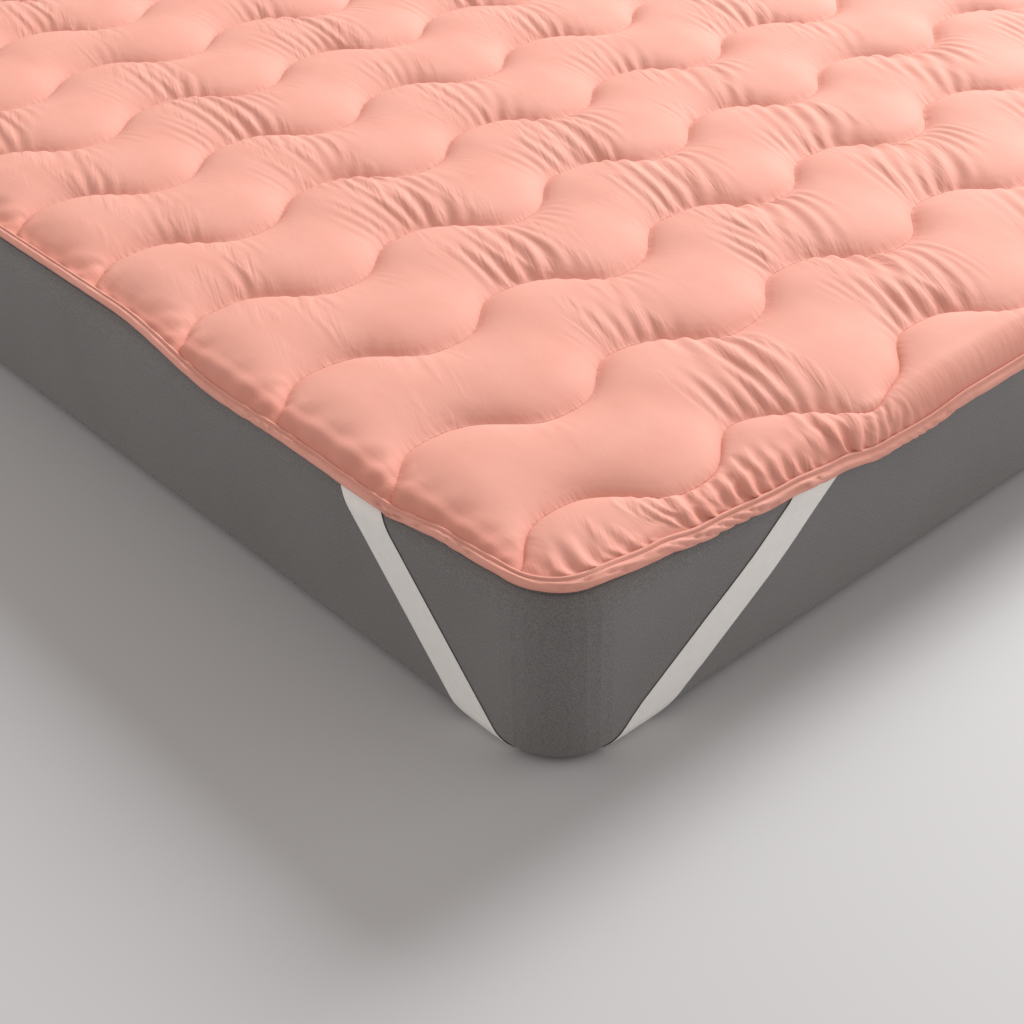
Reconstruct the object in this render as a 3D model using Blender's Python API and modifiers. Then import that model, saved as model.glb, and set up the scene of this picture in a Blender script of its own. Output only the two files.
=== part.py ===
"""A quilted mattress topper, held by elastic corner straps, lying on a plain mattress.

X runs along the short side, Y along the long side, +Z up, metres. The origin is the centre
of the mattress's flat underside. The pad is sewn in wavy channels that run along X. Its
bound hem laps over the rounded top edge of the mattress, and a flat elastic strap at each
corner runs from one hem, under the mattress's corner, to the next hem.
"""

import math

import bmesh
import bpy
import numpy as np
from mathutils import Matrix

# Mattress
WIDTH = 1.60
LENGTH = 2.00
HEIGHT = 0.18
CORNER_RADIUS = 0.065  # of the upright edges, seen from above
SHOULDER = 0.028  # rounding of the top edge
FOOT = 0.020  # rounding of the bottom edge
CORNER_STEPS = 8
EDGE_STEPS = 6

# Quilted pad
SEAMS = 12
SEAM_PITCH = 0.1613
FIRST_SEAM = -0.9407  # the middle of the wave of the first seam
SEAM_SLANT = -0.0106  # how much the seams run off the square
WAVE_LENGTH = 0.230
WAVE_HEIGHT = 0.0277  # from the middle of the wave to its crest
WAVE_CREST = -0.7119  # where along X a crest stands
WAVE_FLATNESS = -0.08  # share of the third harmonic, which flattens the crests
HEM_THICKNESS = 0.0052
SEAM_THICKNESS = 0.0090
CROWN_THICKNESS = 0.0245
HEM_RISE = 0.055  # how far in from the hem the filling reaches its full height
FULL_CHANNEL = 0.13  # a channel narrower than this is filled less
NARROW_FILL = 0.8  # how fast the filling falls off in it, as a power of its width
HEM_RADIUS = 0.058  # of the pad's corners, inside the binding
REST_GAP = 0.0003  # between the pad and the flat top under it
DRAPE_GAP = 0.0024  # between the pad and the rounded edge under it
DRAPE_TURN = 0.28  # radians round the edge over which the one grows into the other

# Where the needle left its line: seam, where along X, how far, over what length
WANDERS = (
    (0, -0.430, -0.032, 0.055),
    (1, -0.425, -0.011, 0.055),
    (2, -0.405, -0.010, 0.060),
    (3, -0.385, -0.009, 0.060),
    (0, -0.700, 0.009, 0.080),
    (0, -0.540, 0.008, 0.050),
)

# How far the bound hem laps past the flat top: distance along the side, lap
LEFT_LAP = (
    (0.05, 0.020), (0.13, 0.023), (0.21, 0.030), (0.35, 0.028), (0.44, 0.029), (0.66, 0.015),
    (0.98, 0.015), (1.40, 0.021), (1.72, 0.030), (1.86, 0.023), (1.95, 0.017),
)
RIGHT_LAP = (
    (0.05, 0.017), (0.15, 0.024), (0.26, 0.031), (0.50, 0.025), (0.85, 0.017), (1.20, 0.016),
    (1.52, 0.024), (1.75, 0.030), (1.88, 0.022), (1.95, 0.017),
)
FRONT_LAP = (
    (0.05, 0.020), (0.12, 0.026), (0.17, 0.032), (0.27, 0.037), (0.33, 0.041), (0.39, 0.048),
    (0.45, 0.049), (0.52, 0.046), (0.95, 0.044), (1.28, 0.037), (1.46, 0.026), (1.55, 0.017),
)
BACK_LAP = (
    (0.05, 0.017), (0.16, 0.028), (0.30, 0.037), (0.55, 0.031), (0.90, 0.026), (1.25, 0.036),
    (1.40, 0.033), (1.49, 0.022), (1.55, 0.017),
)

# The pad's faces: rows across a channel, and what the columns and rings keep to
CHANNEL_ROWS = (0.0, 0.11, 0.34, 0.66, 0.89)
END_CHANNEL_ROWS = (0.0, 0.05, 0.15, 0.32, 0.56, 0.82)
HEM_COLUMNS = (0.0, 0.008, 0.018, 0.030, 0.046)
COLUMNS = 53
UNDER_RINGS = 4
FLAT_MARGIN = 0.012  # the underside is one flat face this far inside the shoulder

# Binding: its section, as distance out from the pad's hem and height above its underside
BINDING_WIDTH = 0.015
BINDING_SECTION = (
    (0.0003, 0.0002), (0.0003, 0.0050), (0.0035, 0.0067), (0.0080, 0.0071),
    (0.0125, 0.0060), (0.0150, 0.0034), (0.0142, 0.0008), (0.0075, 0.0000),
)

# Corner straps
STRAP_WIDTH = 0.040
STRAP_THICKNESS = 0.0012
STRAP_GAP = 0.0005
STRAP_TRACK = 0.0019  # height of the strap's inner face where it lies under the mattress
TRACK_DEPTH = 0.0025  # of the shallow track that the strap presses into the underside
TRACK_MARGIN = 0.002
TRACK_LENGTH = 0.17
STRAP_EASING = 0.016  # a turn in the strap's line is spread this far to each side
# The strap's middle line: distance up the side from the flat underside, distance from the corner
STRAP_ON_LEFT = ((0.000, 0.0534), (0.196, 0.2390))
STRAP_ON_FRONT = ((0.000, 0.0570), (0.030, 0.0890), (0.118, 0.2250), (0.181, 0.3038))

# Colours, linear
PEACH = (0.87, 0.42, 0.32)
PEACH_TRIM = (0.85, 0.36, 0.27)
WHITE_ELASTIC = (0.74, 0.73, 0.71)
DARK_GREY = (0.105, 0.100, 0.095)

LEFT, RIGHT, FRONT, BACK = -1, 1, -1, 1


def clear_scene():
    for thing in list(bpy.data.objects):
        bpy.data.objects.remove(thing, do_unlink=True)


def new_collection(name):
    collection = bpy.data.collections.new(name)
    bpy.context.scene.collection.children.link(collection)
    return collection


def finish(name, colour, roughness):
    material = bpy.data.materials.new(name)
    material.use_nodes = True
    shader = material.node_tree.nodes["Principled BSDF"]
    shader.inputs["Base Color"].default_value = (*colour, 1.0)
    shader.inputs["Roughness"].default_value = roughness
    shader.inputs["Metallic"].default_value = 0.0
    return material


def part_from(mesh_builder, name, collection, material):
    """One object made from a bmesh, closed and facing out."""
    bmesh.ops.recalc_face_normals(mesh_builder, faces=mesh_builder.faces)
    if mesh_builder.calc_volume(signed=True) < 0.0:
        bmesh.ops.reverse_faces(mesh_builder, faces=mesh_builder.faces)
    mesh = bpy.data.meshes.new(name)
    mesh_builder.to_mesh(mesh)
    mesh_builder.free()
    mesh.shade_smooth()
    mesh.set_sharp_from_angle(angle=math.radians(50))
    part = bpy.data.objects.new(name, mesh)
    collection.objects.link(part)
    mesh.materials.append(material)
    return part


def eased(share):
    share = np.clip(share, 0.0, 1.0)
    return share * share * (3.0 - 2.0 * share)


def between(rows, at):
    """The second column of a table, eased from each row to the next."""
    at = np.asarray(at, float)
    value = np.full(at.shape, rows[0][1])
    for (start, low), (end, high) in zip(rows[:-1], rows[1:]):
        value += (high - low) * eased((at - start) / (end - start))
    return value


# ---------------------------------------------------------------- mattress


def edges_at(solid, keep):
    return [edge for edge in solid.edges if all(keep(vertex.co) for vertex in edge.verts)]


def round_edges(solid, edges, radius, steps):
    bmesh.ops.bevel(
        solid, geom=edges, offset=radius, segments=steps, profile=0.5, affect="EDGES"
    )


def make_mattress(collection, material):
    solid = bmesh.new()
    bmesh.ops.create_cube(
        solid,
        size=1.0,
        matrix=Matrix.Translation((0.0, 0.0, HEIGHT / 2)) @ Matrix.Diagonal((WIDTH, LENGTH, HEIGHT, 1.0)),
    )
    upright = [
        edge for edge in solid.edges if abs(edge.verts[0].co.z - edge.verts[1].co.z) > HEIGHT / 2
    ]
    round_edges(solid, upright, CORNER_RADIUS, CORNER_STEPS)
    round_edges(solid, edges_at(solid, lambda co: co.z > HEIGHT - 1e-5), SHOULDER, EDGE_STEPS)
    round_edges(solid, edges_at(solid, lambda co: co.z < 1e-5), FOOT, EDGE_STEPS)
    return part_from(solid, "mattress", collection, material)


def edge_of_underside(side_x, side_y):
    """The corner at which the two bottom edges would meet if it weren't rounded."""
    return side_x * (WIDTH / 2 - FOOT), side_y * (LENGTH / 2 - FOOT)


def press_strap_tracks(mattress, cutters):
    """Cuts the shallow track in which each strap crosses the underside."""
    start = STRAP_ON_LEFT[0][1]
    end = STRAP_ON_FRONT[0][1]
    for side_x in (LEFT, RIGHT):
        for side_y in (FRONT, BACK):
            corner_x, corner_y = edge_of_underside(side_x, side_y)
            middle = (corner_x - side_x * end / 2, corner_y - side_y * start / 2, -TRACK_DEPTH)
            turn = math.atan2(-side_y * start, side_x * end)
            solid = bmesh.new()
            bmesh.ops.create_cube(
                solid,
                size=1.0,
                matrix=Matrix.Translation(middle)
                @ Matrix.Rotation(turn, 4, "Z")
                @ Matrix.Diagonal((TRACK_LENGTH, STRAP_WIDTH + 2 * TRACK_MARGIN, 4 * TRACK_DEPTH, 1.0)),
            )
            number = 1 + (side_x == RIGHT) + 2 * (side_y == BACK)
            cutter = part_from(solid, f"track_cutter_{number}", cutters, mattress.data.materials[0])
            cutter.hide_render = True
            cutter.display_type = "WIRE"
            cut = mattress.modifiers.new(f"track_{number}", "BOOLEAN")
            cut.operation = "DIFFERENCE"
            cut.solver = "EXACT"
            cut.object = cutter


# ---------------------------------------------------------------- cloth over the top edge


def past_shoulder(x, y):
    """How far a point of the flat cloth lies past the flat top, and which way is out."""
    past_x = np.abs(x) - (WIDTH / 2 - CORNER_RADIUS)
    past_y = np.abs(y) - (LENGTH / 2 - CORNER_RADIUS)
    at_corner = np.minimum(past_x, past_y) > 0.0
    far = np.where(at_corner, np.hypot(past_x, past_y), np.maximum(past_x, past_y))
    along_x = np.where(at_corner, past_x / np.maximum(far, 1e-9), past_x >= past_y)
    along_y = np.where(at_corner, past_y / np.maximum(far, 1e-9), past_x < past_y)
    past = far - (CORNER_RADIUS - SHOULDER)
    return past, along_x * np.sign(x), along_y * np.sign(y)


def draped(x, y, height):
    """Places a point of the flat cloth, at a height above its underside, on the mattress."""
    past, out_x, out_y = past_shoulder(x, y)
    past = np.maximum(past, 0.0)
    bend = SHOULDER + DRAPE_GAP
    turn = np.minimum(past / bend, math.pi / 2)
    gap = REST_GAP + (DRAPE_GAP - REST_GAP) * eased(turn / DRAPE_TURN)
    radius = SHOULDER + gap + height
    shift = radius * np.sin(turn) - past
    z = HEIGHT - SHOULDER + radius * np.cos(turn) - (past - bend * turn)
    return np.stack([x + out_x * shift, y + out_y * shift, z], axis=-1)


def side_hem(y, side):
    """The half width of the pad, inside the binding, at y."""
    lap = between(LEFT_LAP if side == LEFT else RIGHT_LAP, y + LENGTH / 2)
    return WIDTH / 2 - SHOULDER + lap - BINDING_WIDTH


def end_hem(x, side):
    """The half length of the pad, inside the binding, at x."""
    lap = between(FRONT_LAP if side == FRONT else BACK_LAP, x + WIDTH / 2)
    return LENGTH / 2 - SHOULDER + lap - BINDING_WIDTH


def from_hem(x, y):
    """How far a point lies inside the pad's hem, with its rounded corners."""
    in_x = np.where(x < 0, side_hem(y, LEFT), side_hem(y, RIGHT)) - np.abs(x)
    in_y = np.where(y < 0, end_hem(x, FRONT), end_hem(x, BACK)) - np.abs(y)
    at_corner = np.maximum(in_x, in_y) < HEM_RADIUS
    rounded = HEM_RADIUS - np.hypot(HEM_RADIUS - in_x, HEM_RADIUS - in_y)
    return np.maximum(np.where(at_corner, rounded, np.minimum(in_x, in_y)), 0.0)


# ---------------------------------------------------------------- quilted pad


def seam(number, x):
    """Where a quilting seam runs. The lines before the first and after the last are the hems."""
    if number < 0:
        return -end_hem(x, FRONT)
    if number >= SEAMS:
        return end_hem(x, BACK)
    phase = 2.0 * math.pi * (x - WAVE_CREST) / WAVE_LENGTH
    wave = np.cos(phase) + WAVE_FLATNESS * np.cos(3.0 * phase)
    line = FIRST_SEAM + SEAM_PITCH * number + WAVE_HEIGHT * wave + SEAM_SLANT * (x + WIDTH / 4)
    for which, place, amount, length in WANDERS:
        if which == number:
            line = line + amount * np.exp(-(((x - place) / length) ** 2))
    return line


def pad_rows():
    """Each row of the pad's faces: the seam or hem before it, and its share of the way on."""
    rows = [(-1, share) for share in END_CHANNEL_ROWS]
    rows += [(number, share) for number in range(SEAMS - 1) for share in CHANNEL_ROWS]
    rows += [(SEAMS - 1, 1.0 - share) for share in reversed(END_CHANNEL_ROWS[1:])]
    rows.insert(len(END_CHANNEL_ROWS) + (SEAMS - 1) * len(CHANNEL_ROWS), (SEAMS - 1, 0.0))
    return rows + [(SEAMS - 1, 1.0)]


def row_line(row, x):
    number, share = row
    return seam(number, x) * (1.0 - share) + seam(number + 1, x) * share


def row_end(row, side):
    """Where a row meets the hem, round the pad's corners as well."""
    inner = side * (WIDTH / 2 - SHOULDER - BINDING_WIDTH - HEM_RADIUS)
    outer = side * (WIDTH / 2)
    for _ in range(40):
        x = (inner + outer) / 2
        y = row_line(row, x)
        end = FRONT if y < 0 else BACK
        short = max(HEM_RADIUS - (end_hem(x, end) - abs(y)), 0.0)
        cut = HEM_RADIUS - math.sqrt(max(HEM_RADIUS**2 - short**2, 0.0))
        if abs(x) < side_hem(y, side) - cut:
            inner = x
        else:
            outer = x
    return x


def row_points(row):
    """The x of each column along one row: close together at the hems, even between them."""
    left = row_end(row, LEFT)
    right = row_end(row, RIGHT)
    near = np.array(HEM_COLUMNS)
    middle = np.linspace(left + near[-1], right - near[-1], COLUMNS - 2 * (len(near) - 1))
    return np.concatenate([left + near[:-1], middle, right - near[-2::-1]])


def pad_thickness(row, x, y):
    """The filled pad's thickness: pinched at seams and hem, crowned between them."""
    number, share = row
    width = seam(number + 1, x) - seam(number, x)
    step = 1e-3
    slope = (row_line(row, x + step) - row_line(row, x - step)) / (2.0 * step)
    across = width / np.sqrt(1.0 + slope**2)
    filled = np.clip(across / FULL_CHANNEL, 0.0, 1.0) ** NARROW_FILL
    crown = math.sqrt(max(math.sin(math.pi * share), 0.0))
    field = SEAM_THICKNESS + (CROWN_THICKNESS - SEAM_THICKNESS) * crown * filled
    rise = np.sqrt(np.sin(np.clip(from_hem(x, y) / HEM_RISE, 0.0, 1.0) * math.pi / 2))
    return HEM_THICKNESS + (field - HEM_THICKNESS) * rise


def hem_loop(grid, count):
    """The grid's border, as vertex numbers, once round."""
    rows = len(grid) // count
    front = list(range(count))
    right = [count * row + count - 1 for row in range(1, rows)]
    back = [count * (rows - 1) + column for column in range(count - 2, -1, -1)]
    left = [count * row for row in range(rows - 2, 0, -1)]
    return front + right + back + left


def flat_pad():
    """The pad's top as flat cloth: x, y and thickness of each point, row by row."""
    points = []
    for row in pad_rows():
        x = row_points(row)
        y = row_line(row, x)
        points.append(np.stack([x, y, pad_thickness(row, x, y)], axis=-1))
    return np.concatenate(points)


def make_pad(flat, collection, material):
    rows = len(flat) // COLUMNS
    solid = bmesh.new()
    bmesh.ops.create_grid(solid, x_segments=COLUMNS - 1, y_segments=rows - 1, size=1.0)
    solid.verts.ensure_lookup_table()
    order = sorted(solid.verts, key=lambda vertex: (round(vertex.co.y, 5), round(vertex.co.x, 5)))
    for vertex, place in zip(order, draped(flat[:, 0], flat[:, 1], flat[:, 2])):
        vertex.co = place
    border = hem_loop(flat, COLUMNS)
    hem_x, hem_y = flat[border, 0], flat[border, 1]
    past, out_x, out_y = past_shoulder(hem_x, hem_y)
    ring = [order[number] for number in border]
    for step in range(UNDER_RINGS + 1):
        inward = (past + FLAT_MARGIN) * step / UNDER_RINGS
        places = draped(hem_x - out_x * inward, hem_y - out_y * inward, 0.0)
        edges = [edge for edge in solid.edges if edge.is_boundary]
        made = bmesh.ops.extrude_edge_only(solid, edges=edges)["geom"]
        below = {}
        for vertex in (item for item in made if isinstance(item, bmesh.types.BMVert)):
            for link in vertex.link_edges:
                below[link.other_vert(vertex)] = vertex
        ring = [below[vertex] for vertex in ring]
        for vertex, place in zip(ring, places):
            vertex.co = place
    bmesh.ops.contextual_create(solid, geom=[edge for edge in solid.edges if edge.is_boundary])
    return part_from(solid, "quilted_pad", collection, material)


# ---------------------------------------------------------------- binding


def make_binding(flat, collection, material):
    """The folded strip round the hem: a ring whose section follows the hem over the edge."""
    border = flat[hem_loop(flat, COLUMNS), :2]
    ahead = np.roll(border, -1, axis=0) - border
    ahead /= np.linalg.norm(ahead, axis=1, keepdims=True)
    along = ahead + np.roll(ahead, 1, axis=0)
    along /= np.linalg.norm(along, axis=1, keepdims=True)
    outward = np.stack([along[:, 1], -along[:, 0]], axis=-1)
    bpy.ops.mesh.primitive_torus_add(
        major_segments=len(border), minor_segments=len(BINDING_SECTION), major_radius=1.0, minor_radius=0.1
    )
    ring = bpy.context.object
    solid = bmesh.new()
    solid.from_mesh(ring.data)
    bpy.data.objects.remove(ring, do_unlink=True)
    solid.verts.ensure_lookup_table()
    for number, (out, up) in enumerate(BINDING_SECTION):
        places = draped(border[:, 0] + outward[:, 0] * out, border[:, 1] + outward[:, 1] * out, up)
        for station, place in enumerate(places):
            solid.verts[station * len(BINDING_SECTION) + number].co = place
    return part_from(solid, "edge_binding", collection, material)


# ---------------------------------------------------------------- corner straps


def up_the_side(rise, lift):
    """Outward distance from the flat underside's edge, and height, at a rise round the foot."""
    foot_turn = math.pi / 2
    wall = HEIGHT - FOOT - SHOULDER
    turn = min(rise / FOOT, foot_turn)
    beyond = rise - FOOT * foot_turn
    if beyond <= wall:
        climb = max(beyond, 0.0)
        return (FOOT + lift) * math.sin(turn), FOOT - (FOOT + lift) * math.cos(turn) + climb
    turn = (beyond - wall) / SHOULDER
    out = FOOT - SHOULDER + (SHOULDER + lift) * math.cos(turn)
    return out, HEIGHT - SHOULDER + (SHOULDER + lift) * math.sin(turn)


def strap_rises(top):
    """The rises at which a strap is measured: each facet of the foot and shoulder, and the wall."""
    foot = [FOOT * math.pi / 2 * step / EDGE_STEPS for step in range(EDGE_STEPS + 1)]
    shoulder = foot[-1] + HEIGHT - FOOT - SHOULDER
    wall = list(np.linspace(foot[-1], shoulder, 9)[1:])
    turn = SHOULDER * math.pi / 2 / EDGE_STEPS
    over = [shoulder + turn * step for step in range(1, EDGE_STEPS) if shoulder + turn * step < top]
    return foot + wall + over + [top]


def strap_line(table, rise):
    """The strap's distance from the corner at a rise, with its turns eased, and its half width."""
    rises, distances = zip(*table)

    def straight(at):
        first = (distances[1] - distances[0]) / (rises[1] - rises[0])
        last = (distances[-1] - distances[-2]) / (rises[-1] - rises[-2])
        if at < rises[0]:
            return distances[0] + first * (at - rises[0])
        if at > rises[-1]:
            return distances[-1] + last * (at - rises[-1])
        return float(np.interp(at, rises, distances))

    def smooth(at):
        return float(np.mean([straight(at + STRAP_EASING * k / 4) for k in range(-4, 5)]))

    slope = (smooth(rise + 1e-3) - smooth(rise - 1e-3)) / 2e-3
    return smooth(rise), STRAP_WIDTH / 2 * math.sqrt(1.0 + slope**2)


def strap_stations(side_x, side_y):
    """Both edges of one strap, from the side's hem, under the corner, to the end's hem."""
    corner_x, corner_y = edge_of_underside(side_x, side_y)
    stations = []
    for rise in reversed(strap_rises(STRAP_ON_LEFT[-1][0])):
        distance, half = strap_line(STRAP_ON_LEFT, rise)
        out, z = up_the_side(rise, STRAP_GAP)
        x = corner_x + side_x * out
        stations.append(
            [(x, corner_y - side_y * (distance + edge), max(z, STRAP_TRACK)) for edge in (half, -half)]
        )
    for rise in strap_rises(STRAP_ON_FRONT[-1][0]):
        distance, half = strap_line(STRAP_ON_FRONT, rise)
        out, z = up_the_side(rise, STRAP_GAP)
        y = corner_y + side_y * out
        stations.append(
            [(corner_x - side_x * (distance + edge), y, max(z, STRAP_TRACK)) for edge in (half, -half)]
        )
    return stations


def make_strap(number, side_x, side_y, collection, material):
    stations = strap_stations(side_x, side_y)
    band = bmesh.new()
    bmesh.ops.create_grid(band, x_segments=1, y_segments=len(stations) - 1, size=1.0)
    order = sorted(band.verts, key=lambda vertex: (round(vertex.co.y, 5), round(vertex.co.x, 5)))
    for vertex, place in zip(order, [place for station in stations for place in station]):
        vertex.co = place
    faces_out = side_x * side_y < 0
    if not faces_out:
        bmesh.ops.reverse_faces(band, faces=band.faces)
    mesh = bpy.data.meshes.new(f"corner_strap_{number}")
    band.to_mesh(mesh)
    band.free()
    strap = bpy.data.objects.new(f"corner_strap_{number}", mesh)
    collection.objects.link(strap)
    mesh.materials.append(material)
    thicken = strap.modifiers.new("webbing", "SOLIDIFY")
    thicken.thickness = STRAP_THICKNESS
    thicken.offset = 1.0
    thicken.use_even_offset = True
    return strap


# ---------------------------------------------------------------- the whole


clear_scene()
topper = new_collection("mattress_topper_on_mattress")
cutters = new_collection("cutters")

mattress = make_mattress(topper, finish("mattress_fabric", DARK_GREY, 0.85))
press_strap_tracks(mattress, cutters)

flat = flat_pad()
make_pad(flat, topper, finish("quilted_cotton", PEACH, 0.6))
make_binding(flat, topper, finish("binding_cotton", PEACH_TRIM, 0.6))

elastic = finish("strap_elastic", WHITE_ELASTIC, 0.7)
CORNERS = ((LEFT, FRONT), (RIGHT, FRONT), (LEFT, BACK), (RIGHT, BACK))
for number, (side_x, side_y) in enumerate(CORNERS, start=1):
    make_strap(number, side_x, side_y, topper, elastic)
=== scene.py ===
"""The looks of a quilted mattress topper that lies on a plain mattress, held by corner straps.

Metres, +Z up. X runs along the short side and Y along the long side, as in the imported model.
"""

import math

import bmesh
import bpy
import numpy as np
from mathutils import Matrix, Vector


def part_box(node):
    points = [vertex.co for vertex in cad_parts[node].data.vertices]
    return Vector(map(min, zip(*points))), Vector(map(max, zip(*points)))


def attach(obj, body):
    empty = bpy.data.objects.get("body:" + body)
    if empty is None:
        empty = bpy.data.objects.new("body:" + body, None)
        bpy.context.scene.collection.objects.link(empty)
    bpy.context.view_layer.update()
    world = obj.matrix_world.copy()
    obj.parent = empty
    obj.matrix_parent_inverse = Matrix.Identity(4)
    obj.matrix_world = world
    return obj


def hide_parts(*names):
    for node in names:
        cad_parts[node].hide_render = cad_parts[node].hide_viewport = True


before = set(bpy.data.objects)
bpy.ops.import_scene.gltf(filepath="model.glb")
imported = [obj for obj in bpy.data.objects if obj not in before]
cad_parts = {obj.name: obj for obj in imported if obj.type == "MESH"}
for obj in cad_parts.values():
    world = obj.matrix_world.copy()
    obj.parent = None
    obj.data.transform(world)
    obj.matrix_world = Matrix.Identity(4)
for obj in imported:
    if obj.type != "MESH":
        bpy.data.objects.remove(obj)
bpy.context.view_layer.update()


# ---------------------------------------------------------------- view
# The camera stands off the near corner, a little above it, and looks down along the
# diagonal, so that the topper runs out of the picture on three sides.

low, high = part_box("mattress")
WIDTH = high[0] - low[0]
LENGTH = high[1] - low[1]
HEIGHT = high[2] - low[2]
NEAR_CORNER = Vector((-WIDTH / 2, -LENGTH / 2, HEIGHT))
OFF_THE_CORNER = Vector((-0.697, -0.7505, 0.831))
TILT_DOWN = math.radians(35.52)
LEAN = math.radians(-1.39)
TURN = math.radians(-41.22)
LENS = 61.23


def add_object(name, data):
    thing = bpy.data.objects.new(name, data)
    bpy.context.scene.collection.objects.link(thing)
    return thing


camera = add_object("camera", bpy.data.cameras.new("camera"))
bpy.context.scene.camera = camera
camera.matrix_world = (
    Matrix.Translation(NEAR_CORNER + OFF_THE_CORNER)
    @ Matrix.Rotation(TURN, 4, "Z")
    @ Matrix.Rotation(math.pi / 2 - TILT_DOWN, 4, "X")
    @ Matrix.Rotation(LEAN, 4, "Z")
)
camera.data.sensor_width = 36.0
camera.data.lens = LENS
bpy.context.scene.view_settings.view_transform = "Standard"


# ---------------------------------------------------------------- mattress
# A plain foam mattress in a close, matt, dark grey knit cover with a fine fleck. It stands on
# its underside, and the straps press shallow tracks into it.


class Socket:
    """An output of a shader node that takes part in sums, and adds the nodes they need."""

    def __init__(self, tree, output):
        self.tree = tree
        self.output = output

    def maths(self, operation, *values):
        numbered = {number: value for number, value in enumerate(values)}
        return add_node(self.tree, "Math", {"operation": operation}, numbered)

    def __add__(self, other):
        return self.maths("ADD", self, other)

    def __sub__(self, other):
        return self.maths("SUBTRACT", self, other)

    def __rsub__(self, other):
        return self.maths("SUBTRACT", other, self)

    def __mul__(self, other):
        return self.maths("MULTIPLY", self, other)

    __radd__ = __add__
    __rmul__ = __mul__

    def wave(self, pitch):
        """A sine wave of this pitch along a value in metres."""
        return self.maths("SINE", self * (2.0 * math.pi / pitch))

    def ramp(self, start, end):
        """Zero below start and one above end."""
        return add_node(self.tree, "ValToRGB", {"stops": (start, end)}, {"Fac": self})

    def between(self, first, second):
        """The first colour where the value is zero and the second where it is one."""
        colours = {"Factor": self, 6: first, 7: second}
        return add_node(self.tree, "Mix", {"data_type": "RGBA"}, colours, 2)


def add_node(tree, kind, settings, inputs, output=0):
    """Adds a node: first its settings, then the values or links of its sockets."""
    node = tree.nodes.new("ShaderNode" + kind)
    for name, value in settings.items():
        if name == "stops":
            for place, stop in zip((0, 1), value):
                node.color_ramp.elements[place].position = stop
        else:
            setattr(node, name, value)
    for name, value in inputs.items():
        if isinstance(value, Socket):
            tree.links.new(value.output, node.inputs[name])
        else:
            node.inputs[name].default_value = value
    return Socket(tree, node.outputs[output]) if node.outputs else node


def new_finish(name):
    """An empty material and its tree."""
    material = bpy.data.materials.new(name)
    material.use_nodes = True
    material.node_tree.nodes.clear()
    return material, material.node_tree


def close_finish(tree, inputs):
    """Ends a finish in its shader, with these values and links."""
    shader = add_node(tree, "BsdfPrincipled", {}, inputs)
    add_node(tree, "OutputMaterial", {}, {"Surface": shader})


def noise_on(tree, place, scale, detail):
    """Cloudy noise from zero to one."""
    inputs = {"Vector": place, "Scale": scale, "Detail": detail}
    return add_node(tree, "TexNoise", {}, inputs, "Fac")


def stretched(tree, place, amount):
    """A place with each of its axes scaled."""
    return add_node(tree, "VectorMath", {"operation": "MULTIPLY"}, {0: place, 1: amount})


def part_of(tree, place, axis):
    """One of the three numbers of a place."""
    return add_node(tree, "SeparateXYZ", {}, {"Vector": place}, axis)


def relief(tree, height, strength, depth, under=None):
    """The surface's direction, roughened by a height, over another relief where there is one."""
    inputs = {"Strength": strength, "Distance": depth, "Height": height}
    if under is not None:
        inputs["Normal"] = under
    return add_node(tree, "Bump", {}, inputs)


KNIT_DARK = (0.118, 0.113, 0.110, 1.0)
KNIT_LIGHT = (0.212, 0.209, 0.210, 1.0)
KNIT_ROW = 0.0015

material, tree = new_finish("mattress_knit")
place = add_node(tree, "TexCoord", {}, {}, "Object")
height = part_of(tree, place, "Z")
fleck = noise_on(tree, stretched(tree, place, (1.0, 1.0, 0.7)), 800.0, 2.0).ramp(0.40, 0.62)
shading = noise_on(tree, place, 9.0, 2.0)
loops = noise_on(tree, place, 480.0, 3.0) + 0.25 * height.wave(KNIT_ROW)
close_finish(
    tree,
    {
        "Base Color": (0.55 * fleck + 0.45 * shading).between(KNIT_DARK, KNIT_LIGHT),
        "Roughness": 0.88,
        "Sheen Weight": 0.15,
        "Sheen Roughness": 0.6,
        "Normal": relief(tree, loops, 0.8, 0.0006),
    },
)
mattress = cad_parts["mattress"]
mattress.data.materials.clear()
mattress.data.materials.append(material)


# ---------------------------------------------------------------- the quilted pad
# Two layers of brushed cotton with a lofty filling, sewn together along wavy seams. The
# stitches gather the cloth, so it puckers where a seam bulges into a channel.

CORNER_RADIUS = 0.065
SHOULDER = 0.028
REST_GAP = 0.0003
DRAPE_GAP = 0.0024
DRAPE_TURN = 0.28

SEAMS = 12
SEAM_PITCH = 0.1613
FIRST_SEAM = -0.9407
SEAM_SLANT = -0.0106
WAVE_LENGTH = 0.230
WAVE_HEIGHT = 0.0277
WAVE_CREST = -0.7119
WAVE_FLATNESS = -0.08
HEM_THICKNESS = 0.0052
SEAM_THICKNESS = 0.0075
CROWN_THICKNESS = 0.0220

# How far in from the hem the filling reaches its full height, how fast it falls off in a channel
# narrower than a full one, and how round its back is
HEM_RISE = 0.060
HEM_ROUNDING = 0.85
FULL_CHANNEL = 0.13
NARROW_FILL = 0.8
CROWN_ROUNDING = 0.55

# The pad's rounded corners, and the strip that the binding takes up beside its hem
HEM_RADIUS = 0.046
SIDE_STRIP, END_STRIP = 0.0088, 0.0116

# Where the needle left its line: seam, where along X, how far, over what length
WANDERS = (
    (0, -0.430, -0.032, 0.055),
    (1, -0.425, -0.011, 0.055),
    (2, -0.405, -0.010, 0.060),
    (3, -0.385, -0.009, 0.060),
    (0, -0.700, 0.009, 0.080),
    (0, -0.540, 0.008, 0.050),
)

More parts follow.
